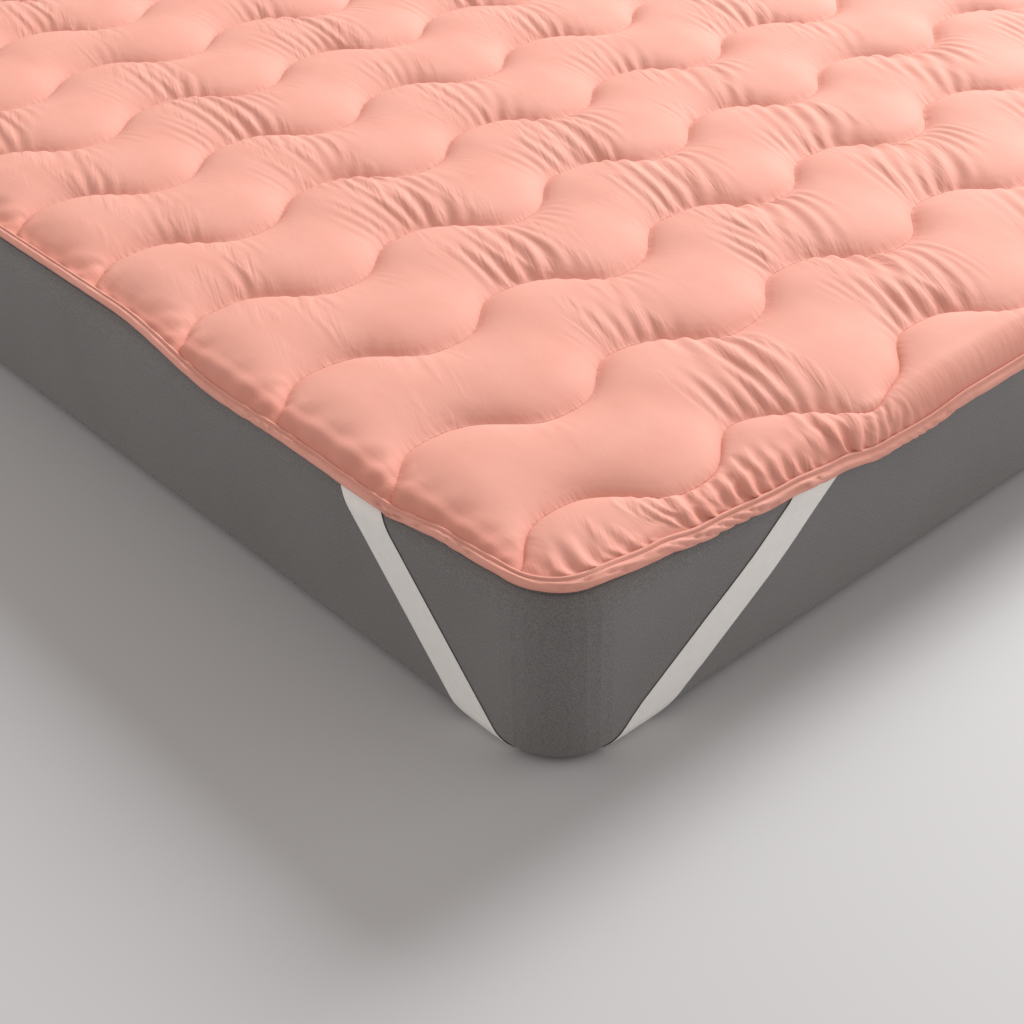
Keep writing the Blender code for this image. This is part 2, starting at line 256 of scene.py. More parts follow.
# How far the bound hem laps past the flat top: distance along the side, lap
LEFT_LAP = (
    (0.05, 0.020), (0.13, 0.023), (0.21, 0.030), (0.35, 0.028), (0.44, 0.029), (0.66, 0.015),
    (0.98, 0.015), (1.40, 0.021), (1.72, 0.030), (1.86, 0.023), (1.95, 0.017),
)
RIGHT_LAP = (
    (0.05, 0.017), (0.15, 0.024), (0.26, 0.031), (0.50, 0.025), (0.85, 0.017), (1.20, 0.016),
    (1.52, 0.024), (1.75, 0.030), (1.88, 0.022), (1.95, 0.017),
)
FRONT_LAP = (
    (0.05, 0.020), (0.12, 0.026), (0.17, 0.032), (0.27, 0.037), (0.33, 0.041), (0.39, 0.048),
    (0.45, 0.049), (0.52, 0.046), (0.95, 0.044), (1.28, 0.037), (1.46, 0.026), (1.55, 0.017),
)
BACK_LAP = (
    (0.05, 0.017), (0.16, 0.028), (0.30, 0.037), (0.55, 0.031), (0.90, 0.026), (1.25, 0.036),
    (1.40, 0.033), (1.49, 0.022), (1.55, 0.017),
)

LEFT, RIGHT, FRONT, BACK = -1, 1, -1, 1
ROWS = 40
COLUMNS = 600


def eased(share):
    share = np.clip(share, 0.0, 1.0)
    return share * share * (3.0 - 2.0 * share)


def between(rows, at):
    """The second column of a table, eased from each row to the next."""
    value = np.full(np.shape(at), rows[0][1])
    for (start, low), (end, high) in zip(rows[:-1], rows[1:]):
        value += (high - low) * eased((at - start) / (end - start))
    return value


def side_hem(y, side):
    lap = between(LEFT_LAP if side == LEFT else RIGHT_LAP, y + LENGTH / 2)
    return WIDTH / 2 - SHOULDER + lap - SIDE_STRIP


def end_hem(x, side):
    lap = between(FRONT_LAP if side == FRONT else BACK_LAP, x + WIDTH / 2)
    return LENGTH / 2 - SHOULDER + lap - END_STRIP


def from_hems(x, y):
    """How far a point lies from the nearer side's hem, and from the nearer end's."""
    in_x = np.where(x < 0, side_hem(y, LEFT), side_hem(y, RIGHT)) - np.abs(x)
    in_y = np.where(y < 0, end_hem(x, FRONT), end_hem(x, BACK)) - np.abs(y)
    return in_x, in_y


def inside_hem(x, y):
    """How far a point lies inside the pad's hem, with its rounded corners."""
    in_x, in_y = from_hems(x, y)
    at_corner = np.maximum(in_x, in_y) < HEM_RADIUS
    rounded = HEM_RADIUS - np.hypot(HEM_RADIUS - in_x, HEM_RADIUS - in_y)
    return np.maximum(np.where(at_corner, rounded, np.minimum(in_x, in_y)), 0.0)


def seam(number, x):
    """Where a quilting seam runs. The lines before the first and after the last are the hems."""
    if number < 0:
        return -end_hem(x, FRONT)
    if number >= SEAMS:
        return end_hem(x, BACK)
    phase = 2.0 * math.pi * (x - WAVE_CREST) / WAVE_LENGTH
    wave = np.cos(phase) + WAVE_FLATNESS * np.cos(3.0 * phase)
    line = FIRST_SEAM + SEAM_PITCH * number + WAVE_HEIGHT * wave + SEAM_SLANT * (x + WIDTH / 4)
    for which, where, amount, length in WANDERS:
        if which == number:
            line = line + amount * np.exp(-(((x - where) / length) ** 2))
    return line


def row_line(number, share, x):
    return seam(number, x) * (1.0 - share) + seam(number + 1, x) * share


def row_end(number, share, side):
    """Where the rows of a channel meet the hem, round the pad's corners as well."""
    inner = np.full(share.shape, side * (WIDTH / 2 - SHOULDER - END_STRIP - HEM_RADIUS))
    outer = np.full(share.shape, side * WIDTH / 2)
    end = FRONT if number < SEAMS / 2 else BACK
    for _ in range(30):
        x = (inner + outer) / 2
        y = row_line(number, share, x)
        short = np.maximum(HEM_RADIUS - (end_hem(x, end) - np.abs(y)), 0.0)
        cut = HEM_RADIUS - np.sqrt(np.maximum(HEM_RADIUS**2 - short**2, 0.0))
        inside = np.abs(x) < side_hem(y, side) - cut
        inner = np.where(inside, x, inner)
        outer = np.where(inside, outer, x)
    return inner


def channel_shares(number):
    """How far across a channel each row of faces lies: close together beside the stitches."""
    even = np.linspace(0.0, 1.0, ROWS)
    if 0 <= number < SEAMS - 1:
        return even - 0.07 * np.sin(2.0 * math.pi * even)
    return 0.5 - 0.5 * np.cos(math.pi * even)


def flat_channel(number):
    """A channel's cloth as x, y and the height of the filling under it, row by row."""
    share = channel_shares(number)
    left = row_end(number, share, LEFT)
    right = row_end(number, share, RIGHT)
    along = np.linspace(0.0, 1.0, COLUMNS)
    x = left[:, None] + (right - left)[:, None] * along
    y = row_line(number, share[:, None], x)
    width = seam(number + 1, x) - seam(number, x)
    slope = np.gradient(y, axis=1) / np.gradient(x, axis=1)
    room = width / np.sqrt(1.0 + slope**2) / FULL_CHANNEL
    filled = (room / (1.0 + room**8) ** 0.125) ** NARROW_FILL
    crown = (np.maximum(np.sin(math.pi * share), 0.0) ** CROWN_ROUNDING)[:, None]
    field = SEAM_THICKNESS + (CROWN_THICKNESS - SEAM_THICKNESS) * crown * filled
    rise = np.sin(np.clip(inside_hem(x, y) / HEM_RISE, 0.0, 1.0) * math.pi / 2) ** HEM_ROUNDING
    height = HEM_THICKNESS + (field - HEM_THICKNESS) * rise
    return np.stack([x, y, height], axis=-1)


def draped(flat):
    """Bends flat cloth, given as x, y and height, over the mattress's rounded top edge."""
    x, y, height = flat[..., 0], flat[..., 1], flat[..., 2]
    past_x = np.abs(x) - (WIDTH / 2 - CORNER_RADIUS)
    past_y = np.abs(y) - (LENGTH / 2 - CORNER_RADIUS)
    at_corner = np.minimum(past_x, past_y) > 0.0
    far = np.where(at_corner, np.hypot(past_x, past_y), np.maximum(past_x, past_y))
    out_x = np.where(at_corner, past_x / np.maximum(far, 1e-9), past_x >= past_y) * np.sign(x)
    out_y = np.where(at_corner, past_y / np.maximum(far, 1e-9), past_x < past_y) * np.sign(y)
    past = np.maximum(far - (CORNER_RADIUS - SHOULDER), 0.0)
    bend = SHOULDER + DRAPE_GAP
    turn = np.minimum(past / bend, math.pi / 2)
    gap = REST_GAP + (DRAPE_GAP - REST_GAP) * eased(turn / DRAPE_TURN)
    radius = SHOULDER + gap + height
    shift = radius * np.sin(turn) - past
    z = HEIGHT - SHOULDER + radius * np.cos(turn) - (past - bend * turn)
    return np.stack([x + out_x * shift, y + out_y * shift, z], axis=-1)


# How far apart the cloth's points lie, from row to row and along a row
SPACING = (0.0044, 0.0027)


def uneven(random, shape, length):
    """A smooth random field, about from -1 to 1, that varies over a length in each direction."""
    field = random.standard_normal(shape).astype(np.float32)
    for axis in (0, 1):
        reach = max(int(length[axis] / SPACING[axis]), 1)
        window = np.hanning(2 * reach + 3)[1:-1].astype(np.float32)
        window /= np.sqrt((window**2).sum())
        field = np.apply_along_axis(np.convolve, axis, field, window, mode="same")
    return field


# How much larger the cloth is cut than its room between the stitches, as a share. Across the
# channels it is so everywhere, and more beside the hem of the long sides. Along them it is so
# beside the hem of the ends, and in the bundles of folds, which also draw the cloth askew.
SLACK_ACROSS = 0.020
SIDE_SLACK = 0.018
HEM_SLACK = 0.100
HEM_REACH = 0.028
SLACK_CHANGE = 1.10
CHANGE_LENGTH = 0.04
BUNDLE_SLACK = 0.074
BUNDLE_SKEW = 0.125
BUNDLE_REACH = 0.052
BUNDLE_OFFSET = 0.040
BUNDLE_LEAN = 0.09
BUNDLES_ACROSS = 8
FOLD_LENGTH, FOLD_PITCH = 0.070, 0.016

# How much of the hem's slack there is: distance along the short side, share
HEM_GATHERS = (
    (0.00, 0.6), (0.10, 0.5), (0.18, 1.0), (0.34, 1.0), (0.42, 0.2), (0.50, 0.0), (0.80, 0.0),
    (0.92, 0.4), (1.02, 0.0), (1.20, 0.4), (1.32, 0.1), (1.50, 0.6),
)

# How strong each bundle of folds is: a row for each channel from the front, a column for each
# wave from the left. The other bundles are drawn at random.
BUNDLES = (
    (0.4, 0.4, 0.12, 0.10),
    (0.2, 1.1, 1.1, 0.7),
    (0.25, 0.65, 1.0, 0.8),
    (0.4, 1.0, 0.9, 0.9),
    (0.5, 1.1, 0.7, 0.8),
    (0.5, 0.8, 0.6, 0.4),
)
STITCH_DIP = 0.0026

# How the cloth settles, in small steps: how uneven it starts, how much fuller the filling would
# swell if it were free, the least share of it that stays under a fold, how hard it pushes, how
# far the cloth runs on from one step to the next, and how hard its strands pull
FIRST_FOLDS = 0.0008
FULLER = 1.10
LEAST_FILLING = 0.55
FILLING_PULL = 0.0012
DRIFT = 0.92
PULL = 0.27
STEPS = 600

# The strands of the cloth: rows and columns apart, how firmly they hold. Those that reach past
# the next point only keep the cloth from folding too sharply.
STRANDS = (
    (0, 1, 1.0), (1, 0, 1.0), (1, 1, 0.8), (1, -1, 0.8), (0, 3, 0.045), (2, 0, 0.3), (4, 0, 0.1),
)


def pairs(field, rows, columns):
    """The two ends of every strand that joins points so many rows and columns apart."""
    count = field.shape[1]
    first = field[: len(field) - rows, max(-columns, 0): count - max(columns, 0)]
    second = field[rows:, max(columns, 0): count + min(columns, 0)]
    return first, second


def slack_of(pad, random):
    """How much longer than its room the cloth is cut: along, across and askew, at each point."""
    x, y = pad[..., 0], pad[..., 1]
    number = np.minimum(np.arange(len(pad)) // (ROWS - 1), SEAMS)[:, None]
    share = (np.arange(len(pad)) % (ROWS - 1) / (ROWS - 1))[:, None]
    strength = random.uniform(0.1, 1.0, (SEAMS + 1, BUNDLES_ACROSS))
    strength[[0, -1]] *= 0.4
    strength[: len(BUNDLES), : len(BUNDLES[0])] = BUNDLES
    slant = np.clip(0.15 + 1.2 * (x + 0.75) - 0.9 * (y + 0.85), 0.1, 1.0)
    wave = (x - WAVE_CREST - BUNDLE_OFFSET - BUNDLE_LEAN * slant * (share - 0.5)) / WAVE_LENGTH
    nearest = np.clip(np.round(wave), 0, BUNDLES_ACROSS - 1).astype(int)
    away = (wave - nearest) * WAVE_LENGTH / BUNDLE_REACH
    bundle = strength[number, nearest] * np.exp(-(away**2))
    along = BUNDLE_SLACK * bundle
    gathered = between(HEM_GATHERS, x + WIDTH / 2)
    to_side, to_end = from_hems(x, y)
    along = along + HEM_SLACK * gathered * np.exp(-((to_end / HEM_REACH) ** 2))
    change = 1.0 + SLACK_CHANGE * uneven(random, x.shape, (FOLD_LENGTH, FOLD_PITCH))
    along = along * np.clip(change, 0.0, 2.2)
    change = 1.0 + SLACK_CHANGE * uneven(random, x.shape, (CHANGE_LENGTH, CHANGE_LENGTH))
    askew = -BUNDLE_SKEW * bundle * slant * change
    gathered = np.clip(change, 0.0, 2.2) * np.exp(-((to_side / HEM_REACH) ** 2))
    across = SLACK_ACROSS + SIDE_SLACK * gathered
    return along.astype(np.float32), across.astype(np.float32), askew.astype(np.float32)


def cut_lengths(pad, along, across, askew):
    """The length each strand of the cloth is cut to."""
    lengths = []
    for rows, columns, _ in STRANDS:
        start, end = pairs(pad, rows, columns)
        step_x, step_y = np.moveaxis((end - start)[..., :2], -1, 0)
        longer, wider, skew = (pairs(field, rows, columns)[0] for field in (along, across, askew))
        squared = (step_x * (1.0 + longer)) ** 2 + (step_y * (1.0 + wider)) ** 2
        lengths.append(np.sqrt(squared + 2.0 * skew * step_x * step_y))
    return lengths


def settle(pad, lengths, noise, steps):
    """Lets the cloth find its folds between the stitches that hold it."""
    filling = SEAM_THICKNESS + (pad[..., 2] - SEAM_THICKNESS) * FULLER
    stitched = np.arange(0, len(pad), ROWS - 1)
    cloth = pad.copy()
    cloth[..., 2] += FIRST_FOLDS * noise
    before = cloth.copy()
    for _ in range(steps):
        moved = cloth + DRIFT * (cloth - before)
        before, cloth = cloth, moved
        cloth[..., 2] += FILLING_PULL * (filling - cloth[..., 2])
        for (rows, columns, firmness), length in zip(STRANDS, lengths):
            start, end = pairs(cloth, rows, columns)
            step = end - start
            now = np.sqrt(np.einsum("ijk,ijk->ij", step, step))
            share = PULL * firmness * (1.0 - length / np.maximum(now, 1e-9))
            if max(rows, abs(columns)) > 1:
                share = np.minimum(share, 0.0)
            step *= share[..., None]
            start += step
            end -= step
        cloth[stitched] = pad[stitched]
        cloth[:, [0, -1]] = pad[:, [0, -1]]
        np.maximum(cloth[..., 2], LEAST_FILLING * pad[..., 2], out=cloth[..., 2])
    for _ in range(2):
        ironed = cloth.copy()
        ironed[1:-1] = (cloth[:-2] + 2.0 * cloth[1:-1] + cloth[2:]) / 4.0
        ironed[stitched] = cloth[stitched]
        cloth = ironed
    return cloth


random = np.random.default_rng(7)
pad = np.concatenate([flat_channel(n)[(1 if n > -1 else 0):] for n in range(-1, SEAMS)])
pad = pad.astype(np.float32)
pad[ROWS - 1:1 - ROWS:ROWS - 1, :, 2] -= STITCH_DIP
slack = slack_of(pad, random)
noise = uneven(random, pad.shape[:2], (0.040, 0.008))
settled = settle(pad, cut_lengths(pad, *slack), noise, STEPS)


def remember(mesh, name, values):
    """Keeps three numbers with each point of a mesh, for its finish."""
    mesh.attributes.new(name, "FLOAT_VECTOR", "POINT").data.foreach_set("vector", values.ravel())


def smooth_piece(name, mesh, material):
    mesh.shade_smooth()
    mesh.materials.append(material)
    return add_object(name, mesh)


GATHER_REACH = 0.032


def cloth_piece(name, points, flat, gathered, material):
    """A grid of cloth as one smooth mesh, which remembers each point's place in the cut, how
    near it is to the hem of a side and of an end, and how strongly it is gathered."""
    rows, columns = points.shape[:2]
    grid = bmesh.new()
    bmesh.ops.create_grid(grid, x_segments=columns - 1, y_segments=rows - 1, size=1.0)
    mesh = bpy.data.meshes.new(name)
    grid.to_mesh(mesh)
    grid.free()
    corner = np.empty(rows * columns * 3, np.float32)
    mesh.vertices.foreach_get("co", corner)
    corner = corner.reshape(-1, 3)
    order = np.lexsort((corner[:, 0].round(6), corner[:, 1].round(6)))
    placed = np.empty_like(corner)
    placed[order] = points.reshape(-1, 3)
    mesh.vertices.foreach_set("co", placed.ravel())
    cut = np.zeros_like(corner)
    cut[order] = flat.reshape(-1, 3)
    remember(mesh, "cut", cut)
    x, y = cut[:, 0], cut[:, 1]
    near = np.zeros_like(cut)
    to_side, to_end = from_hems(x, y)
    near[:, 0] = np.exp(-((to_side / GATHER_REACH) ** 2))
    near[:, 1] = np.exp(-((to_end / GATHER_REACH) ** 2))
    near[order, 2] = gathered.ravel()
    remember(mesh, "near", near)
    return smooth_piece(name, mesh, material)


PEACH = (0.748, 0.342, 0.270, 1.0)
PEACH_FADED = (0.792, 0.392, 0.318, 1.0)
# the darker peach of the painted shade in the seam grooves and beside the hem
PEACH_PAINTED_SHADE = (0.60, 0.185, 0.128, 1.0)
# how far above the hem's thickness the painted shade beside the hem fades out
HEM_SHADE_FADE = 0.012
CREASE_SLANT = 0.45
WEAVE_PITCH = 0.0009


def cotton_finish(name, pucker_reach):
    """Brushed cotton: a close weave, soft crumples and creases, and puckers beside stitches.
    Its colour is painted darker in the stitched grooves and beside the hem: painted shade.
    """
    material, tree = new_finish(name)
    cut = add_node(tree, "Attribute", {"attribute_name": "cut"}, {}, "Vector")
    filling = part_of(tree, cut, "Z")
    near = add_node(tree, "Attribute", {"attribute_name": "near"}, {}, "Vector")
    near_side, near_end, gathered = (part_of(tree, near, axis) for axis in "XYZ")
    flat = stretched(tree, cut, (1.0, 1.0, 0.0))
    pulled = 1.0 - ((filling - SEAM_THICKNESS) * (1.0 / pucker_reach)).ramp(0.0, 1.0)
    puckers = noise_on(tree, stretched(tree, flat, (1.0, 0.24, 1.0)), 120.0, 4.0) * pulled
    puckers = puckers * (1.0 - 0.8 * near_end) * (1.0 - 0.8 * near_side)
    gathers = noise_on(tree, stretched(tree, flat, (0.16, 1.0, 1.0)), 60.0, 2.0) * near_side
    crumples = noise_on(tree, stretched(tree, flat, (1.0, 0.6, 1.0)), 70.0, 4.0)
    in_x, in_y = (part_of(tree, flat, axis) for axis in "XY")
    slanted = add_node(tree, "CombineXYZ", {}, {"X": in_x - CREASE_SLANT * in_y, "Y": 0.14 * in_y})
    drawn = noise_on(tree, slanted, 62.0, 3.0) - 0.5
    creases = drawn.maths("ABSOLUTE", drawn).ramp(0.0, 0.16) * gathered.ramp(0.15, 1.0)
    weave = in_x.wave(WEAVE_PITCH) + in_y.wave(WEAVE_PITCH)
    folds = 2.0 * puckers + 1.0 * gathers + 0.26 * crumples + 0.55 * creases
    folded = relief(tree, folds, 0.6, 0.0022)
    faded = noise_on(tree, flat, 14.0, 4.0).ramp(0.25, 0.75)
    # painted shade: a thin dark line painted along each stitched groove, where the filling is
    # lowest
    painted_shade = 0.55 - 0.55 * ((filling - SEAM_THICKNESS + STITCH_DIP) * 500.0).ramp(0.0, 1.0)
    # painted shade beside the hem, where the cloth dips to the binding; stronger on the long sides
    painted_hem_shade = 1.0 - ((filling - HEM_THICKNESS) * (1.0 / HEM_SHADE_FADE)).ramp(0.0, 1.0)
    painted_hem_shade = painted_hem_shade * near_side.maths("MAXIMUM", 0.56 * near_side, 0.32 * near_end)
    # painted shade of the grooves and of the hem, whichever is darker
    painted_shade = painted_shade.maths("MAXIMUM", painted_shade, painted_hem_shade)
    close_finish(
        tree,
        {
            "Base Color": painted_shade.between(faded.between(PEACH, PEACH_FADED), PEACH_PAINTED_SHADE),
            "Roughness": 0.68 + 0.14 * noise_on(tree, flat, 420.0, 2.0),
            "Specular IOR Level": 0.22,
            "Sheen Weight": 0.10,
            "Sheen Tint": PEACH,
            "Sheen Roughness": 0.45,
            "Normal": relief(tree, weave, 0.12, 0.0001, folded),
        },
    )
    return material


pad_cotton = cotton_finish("pad_cotton", 0.007)

for number in range(-1, SEAMS):
    first = (number + 1) * (ROWS - 1)
    rows = slice(first, first + ROWS)
    name = f"channel_{number + 2:02d}"
    gathered = slack[0][rows] / BUNDLE_SLACK
    piece = cloth_piece(name, draped(settled[rows]), pad[rows], gathered, pad_cotton)
    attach(piece, "root")
    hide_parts("quilted_pad")


# ---------------------------------------------------------------- quilting stitches
# Cotton thread in the pad's own colour, sewn through both layers along each wavy seam. Each
# stitch sinks into the cloth at both of its ends.

STITCH_PITCH = 0.0040
STITCH_LENGTH = 0.0029
THREAD_RADIUS = 0.00028


def distance_along(line):
    steps = np.linalg.norm(np.diff(line, axis=0), axis=1)
    return np.concatenate([[0.0], np.cumsum(steps)])


def even_marks(line, pitch, length):
    """Where even stitches start and end along a flat line."""
    travelled = distance_along(line[:, :2])
    middles = np.arange(pitch, travelled[-1] - pitch, pitch)
    return [
        np.stack([np.interp(at, travelled, line[:, axis]) for axis in range(3)], axis=-1)
        for at in (middles - length / 2, middles + length / 2)
    ]


def away_from_mattress(flat):
    """The direction out of the cloth at a flat place."""
    out = draped(flat + (0.0, 0.0, 0.001)) - draped(flat)
    return out / np.linalg.norm(out, axis=-1, keepdims=True)


# A stitch's thread, ring by ring: share of its length, height and thickness in its radius
STITCH_RINGS = ((0.0, -0.5, 0.6), (0.22, 0.5, 1.0), (0.78, 0.5, 1.0), (1.0, -0.5, 0.6))


def thread_piece(name, starts, ends, out, radius, material):
    """Short stitches, each a thread that rises out of the cloth and dips back in."""
    along = ends - starts
    along /= np.linalg.norm(along, axis=-1, keepdims=True)
    aside = np.cross(along, out)
    rings = []
    for share, lift, swell in STITCH_RINGS:
        middle = starts + (ends - starts) * share + out * radius * lift
        for side, up in ((1, 0), (0, 1), (-1, 0), (0, -1)):
            rings.append(middle + (aside * side + out * up) * radius * swell)
    points = np.stack(rings, axis=1).reshape(-1, 3)
    walls = [
        (low + side, low + (side + 1) % 4, low + 4 + (side + 1) % 4, low + 4 + side)
        for low in (0, 4, 8)
        for side in range(4)
    ]
    faces = np.array(walls + [(3, 2, 1, 0), (12, 13, 14, 15)])
    all_faces = (faces[None] + 16 * np.arange(len(starts))[:, None, None]).reshape(-1, 4)
    mesh = bpy.data.meshes.new(name)
    mesh.from_pydata(points.tolist(), [], all_faces.tolist())
    return smooth_piece(name, mesh, material)


def thread_finish(name, deep, pale):
    """Sewing thread: a fine twist, and a colour that changes slowly along the seam."""
    material, tree = new_finish(name)
    place = add_node(tree, "TexCoord", {}, {}, "Object")
    shade = noise_on(tree, place, 60.0, 2.0).between(deep, pale)
    twist = relief(tree, noise_on(tree, place, 2400.0, 1.0), 0.4, 0.0001)
    close_finish(tree, {"Base Color": shade, "Roughness": 0.6, "Normal": twist})
    return material


THREAD_PEACH = (0.78, 0.350, 0.255, 1.0)
THREAD_PALE = (0.88, 0.450, 0.340, 1.0)

thread = thread_finish("cotton_thread", THREAD_PEACH, THREAD_PALE)
seam_lines = pad[ROWS - 1:1 - ROWS:ROWS - 1]
marks = [even_marks(line, STITCH_PITCH, STITCH_LENGTH) for line in seam_lines]
starts, ends = (np.concatenate(side) for side in zip(*marks))
out = away_from_mattress(starts)
piece = thread_piece("quilting_stitches", draped(starts), draped(ends), out, THREAD_RADIUS, thread)
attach(piece, "root")
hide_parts("quilted_pad")


# ---------------------------------------------------------------- edge binding
# A strip of the same cotton folded over the hem and sewn down near its inner edge, which
# stands up as a thin ridge. The roll twists as it goes round, so its creases run slantwise.

# The strip's section: outwards from the pad's hem, and above its underside
BINDING_SECTION = (
    (0.0003, 0.0002), (0.0003, 0.0032), (0.0000, 0.0058), (-0.0007, 0.0066), (0.0003, 0.0077),
    (0.0017, 0.0073), (0.0028, 0.0057), (0.0037, 0.0063), (0.0051, 0.0078), (0.0067, 0.0091),
    (0.0085, 0.0096), (0.0103, 0.0091), (0.0118, 0.0077), (0.0128, 0.0057), (0.0131, 0.0036),
    (0.0124, 0.0015), (0.0098, 0.0002), (0.0050, 0.0000),
)
GROOVE = 6
SEWN_EDGE = 0.0038
SECTION_WIDTH = 0.0128
ROLL_CENTRE = np.array((0.0070, 0.0042))
BINDING_STEP = 0.0026

# The twisted roll: the length of one turn, how slantwise its creases run, how deep they are, how
# much of that shows in the outline, and how wide a crease is as a share of a turn
ROPE_PITCH = 0.042
ROPE_SLANT = 7.0
ROPE_DEPTH = 0.0030
ROPE_OUTLINE = 0.22
CREASE_WIDTH = 0.16

BINDING_STITCH_PITCH = 0.0034
BINDING_STITCH_LENGTH = 0.0025
FINE_THREAD_RADIUS = 0.00025

# Where the strip is twisted most: distance from the near corner, how strongly, over what length
TWISTS = (
    (0.015, 0.5, 0.020), (0.115, 1.0, 0.075), (0.235, 0.8, 0.050), (0.420, 0.35, 0.080),
    (-0.022, 0.6, 0.012), (-0.203, 1.6, 0.030), (-0.110, 0.25, 0.060), (-0.420, 0.35, 0.080),
)


def hem_line(step):
    """The pad's hem as an even flat line once round, from the near corner along the front."""
    loop = np.concatenate([pad[0, :-1], pad[:-1, -1], pad[-1, :0:-1], pad[:0:-1, 0]])[:, :2]
    closed = np.concatenate([loop, loop[:1]])
    travelled = distance_along(closed)
    count = int(travelled[-1] / step)
    places = np.arange(count) * travelled[-1] / count
    line = np.stack([np.interp(places, travelled, closed[:, axis]) for axis in (0, 1)], axis=-1)
    ahead = np.roll(line, -2, axis=0) - np.roll(line, 2, axis=0)
    for _ in range(4):
        ahead = (np.roll(ahead, 1, axis=0) + 2.0 * ahead + np.roll(ahead, -1, axis=0)) / 4.0
    ahead /= np.linalg.norm(ahead, axis=1, keepdims=True)
    return places, line, np.stack([ahead[:, 1], -ahead[:, 0]], axis=-1)


def looped(random, count, reach):
    """A smooth random line round the strip, about from -1 to 1, that meets itself."""
    window = np.hanning(2 * reach + 3)[1:-1]
    window /= np.sqrt((window**2).sum())
    thrice = np.tile(random.standard_normal(count), 3)
    return np.convolve(thrice, window, mode="same")[count: 2 * count]


places, hem, outward = hem_line(BINDING_STEP)
round_trip = places[-1] + places[1]
random = np.random.default_rng(11)
twisted = 0.10 + 0.20 * np.clip(looped(random, len(places), 30), 0.0, 1.5)
for where, amount, length in TWISTS:
    apart = (places - where + round_trip / 2) % round_trip - round_trip / 2
    twisted += amount * np.exp(-((apart / length) ** 2))
wander = 0.30 * looped(random, len(places), 14) + 1.1 * looped(random, len(places), 46)
turns = round(round_trip / ROPE_PITCH)
swollen = 0.0005 * looped(random, len(places), 7)

section = np.array(BINDING_SECTION)
wide = (SIDE_STRIP * outward[:, 0] ** 2 + END_STRIP * outward[:, 1] ** 2) / SECTION_WIDTH
tall = 0.4 + 0.6 * wide
rings = []
for out, up in section:
    beyond = np.clip((out - SEWN_EDGE) / 0.003, 0.0, 1.0)
    around = turns * places / round_trip + wander - ROPE_SLANT * (out - SEWN_EDGE) / ROPE_PITCH
    turned = around % 1.0
    from_crease = np.minimum(turned, 1.0 - turned)
    crease = 0.25 * np.sin(math.pi * turned) + 0.7 * (turned - 0.5)
    crease -= 0.7 * np.exp(-((from_crease / CREASE_WIDTH) ** 2))
    fold = (ROPE_DEPTH * twisted * crease + swollen) * beyond
    away = np.array((out, up)) - ROLL_CENTRE
    away /= np.linalg.norm(away)
    flat = hem + outward * (out * wide + fold * away[0] * ROPE_OUTLINE)[:, None]
    rise = np.maximum(up * tall + fold * max(away[1], 0.0), up * 0.4)
    rings.append(np.concatenate([flat, rise[:, None]], axis=1))
strip = np.stack(rings, axis=0)

stations, points = len(places), len(section)
corner = np.arange(stations * points).reshape(stations, points)
ahead = np.roll(corner, -1, axis=0)
beside = np.roll(corner, -1, axis=1)
faces = np.stack([corner, beside, np.roll(ahead, -1, axis=1), ahead], axis=-1).reshape(-1, 4)
mesh = bpy.data.meshes.new("binding")
mesh.from_pydata(draped(strip).transpose(1, 0, 2).reshape(-1, 3).tolist(), [], faces.tolist())
cut = np.zeros((stations, points, 3), np.float32)
from_far_corner = ((places + round_trip / 2) % round_trip)[:, None]
cut[..., 0] = distance_along(section) + from_far_corner / ROPE_SLANT
cut[..., 1] = from_far_corner
cut[..., 2] = SEAM_THICKNESS + 0.5 * np.abs(section[:, 0] - section[GROOVE, 0])
remember(mesh, "cut", cut)
binding = smooth_piece("binding", mesh, cotton_finish("binding_cotton", 0.003))
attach(binding, "root")
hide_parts("edge_binding")

groove = np.concatenate([strip[GROOVE], strip[GROOVE, :1]]) + (0.0, 0.0, 0.0001)
starts, ends = even_marks(groove, BINDING_STITCH_PITCH, BINDING_STITCH_LENGTH)
out = away_from_mattress(starts)
piece = thread_piece(
    "binding_stitches", draped(starts), draped(ends), out, FINE_THREAD_RADIUS, thread
)
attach(piece, "root")
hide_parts("edge_binding")


# ---------------------------------------------------------------- corner straps
# Flat white woven elastic, one at each corner. Both ends are sewn flat to the hem beneath the
# binding, and the band is drawn tight round the mattress's lower corner.

# The rounding of the mattress's foot, the band's width and thickness, how far it stands off the
# mattress, its height in the track under the corner, and how far a turn in its line is spread
FOOT = 0.020
STRAP_WIDTH = 0.040
STRAP_THICKNESS = 0.0012
STRAP_GAP = 0.0005
STRAP_TRACK = 0.0019
STRAP_EASING = 0.016
RIB_PITCH = 0.0016
WEFT_PITCH = 0.0011

# Each strap's line, from the underside's edge upwards: rise, distance from the corner. Above
# the near corner the two tables give the band's left half and its right half.
STRAP_ON_LEFT = ((0.000, 0.0534), (0.196, 0.2390))
STRAP_ON_FRONT = ((0.000, 0.0570), (0.030, 0.0890), (0.118, 0.2250), (0.181, 0.3038))
LEFT_RISES = np.linspace(STRAP_ON_LEFT[-1][0], 0.0, 66)
FRONT_RISES = np.linspace(0.0, STRAP_ON_FRONT[-1][0], 66)
UNDER_STATIONS = 16

# The rise at which each end is sewn to the hem, and the stitches of the two rows
TACK_ON_LEFT = 0.165
TACK_ON_FRONT = 0.155
TACK_STITCHES = 12
TACK_STITCH = 0.064


def up_the_side(rise):
    """Outward distance from the flat underside's edge, and height, at a rise round the foot."""
    wall = HEIGHT - FOOT - SHOULDER
    turn = np.minimum(rise / FOOT, math.pi / 2)
    beyond = rise - FOOT * math.pi / 2
    out = (FOOT + STRAP_GAP) * np.sin(turn)
    z = FOOT - (FOOT + STRAP_GAP) * np.cos(turn) + np.clip(beyond, 0.0, wall)
    over = np.maximum(beyond - wall, 0.0) / SHOULDER
    radius = SHOULDER + STRAP_GAP
    return out + radius * (np.cos(over) - 1.0), z + radius * np.sin(over)


